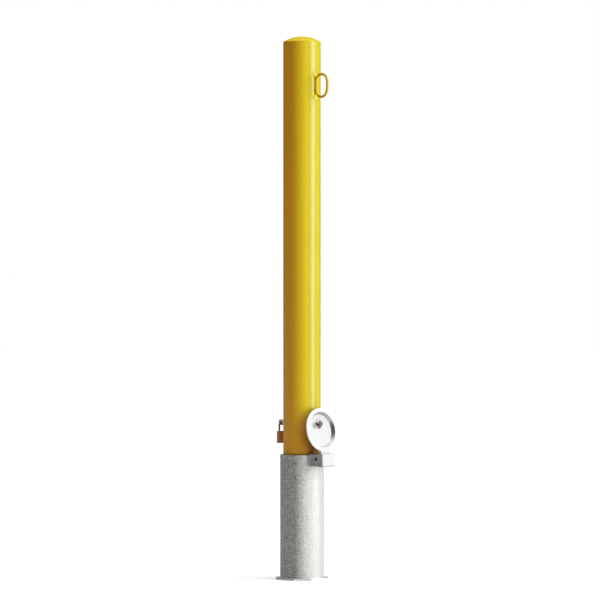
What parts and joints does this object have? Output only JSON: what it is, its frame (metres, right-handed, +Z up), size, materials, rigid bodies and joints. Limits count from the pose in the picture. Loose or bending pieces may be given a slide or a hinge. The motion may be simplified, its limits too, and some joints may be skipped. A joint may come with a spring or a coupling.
{
  "type": "removable bollard",
  "caption": "Round steel post with a domed cap and a chain ring, standing in a ground sleeve with a hinged lid, a lock bolt and a padlock.",
  "frame": {"origin": "centre of the anchor plate's underside, on the post's axis", "axes": "+Z up along the post, +X from the post's axis towards the lid, its hinge and the chain ring"},
  "size_m": [0.1393, 0.1, 1.1032],
  "materials": {
    "yellow_paint": "gloss",
    "galvanised": "matt spangle",
    "cast_aluminium": "satin",
    "stainless": "satin",
    "brass": "satin",
    "shackle_steel": "polished"
  },
  "bodies": {
    "ground": {"anchor_plate": "galvanised", "sleeve_tube": "galvanised", "hinge_bracket": "galvanised", "hinge_pin": "stainless"},
    "lid": {"lid": "cast_aluminium"},
    "post": {"post_tube": "yellow_paint", "post_cap": "yellow_paint", "chain_ring": "yellow_paint", "front_bush": "stainless", "rear_bush": "stainless", "hasp_lug": "yellow_paint"},
    "bolt": {"lock_bolt": "stainless", "stop_collar": "stainless", "collar_pin": "stainless"},
    "shackle": {"padlock_shackle": "shackle_steel"},
    "case": {"padlock_case": "brass", "latch": "brass", "latch_spring": "stainless", "heel_pin": "stainless", "plug_pin": "stainless"},
    "plug": {"padlock_plug": "brass"}
  },
  "joints": [
    {"name": "post_lift", "type": "slide", "parent": "ground", "child": "post", "axis": [0, 0, 1], "range_m": [0, 0.3]},
    {"name": "lid_hinge", "type": "hinge", "parent": "ground", "child": "lid", "pos_m": [0.058, 0, 0.2462], "axis": [0, 1, 0], "range_deg": [0, 26]},
    {"name": "bolt_slide", "type": "slide", "parent": "post", "child": "bolt", "axis": [-1, 0, 0], "range_m": [0, 0.006]},
    {"name": "padlock_swing", "type": "hinge", "parent": "bolt", "child": "shackle", "pos_m": [-0.0573, 0, 0.31674], "axis": [0, 1, 0], "range_deg": [-3, 75]},
    {"name": "padlock_open", "type": "slide", "parent": "shackle", "child": "case", "axis": [0, 0, -1], "range_m": [0, 0.009]},
    {"name": "key_turn", "type": "hinge", "parent": "case", "child": "plug", "pos_m": [-0.0573, 0, 0.276], "axis": [0, 0, 1], "range_deg": [0, 90]}
  ]
}
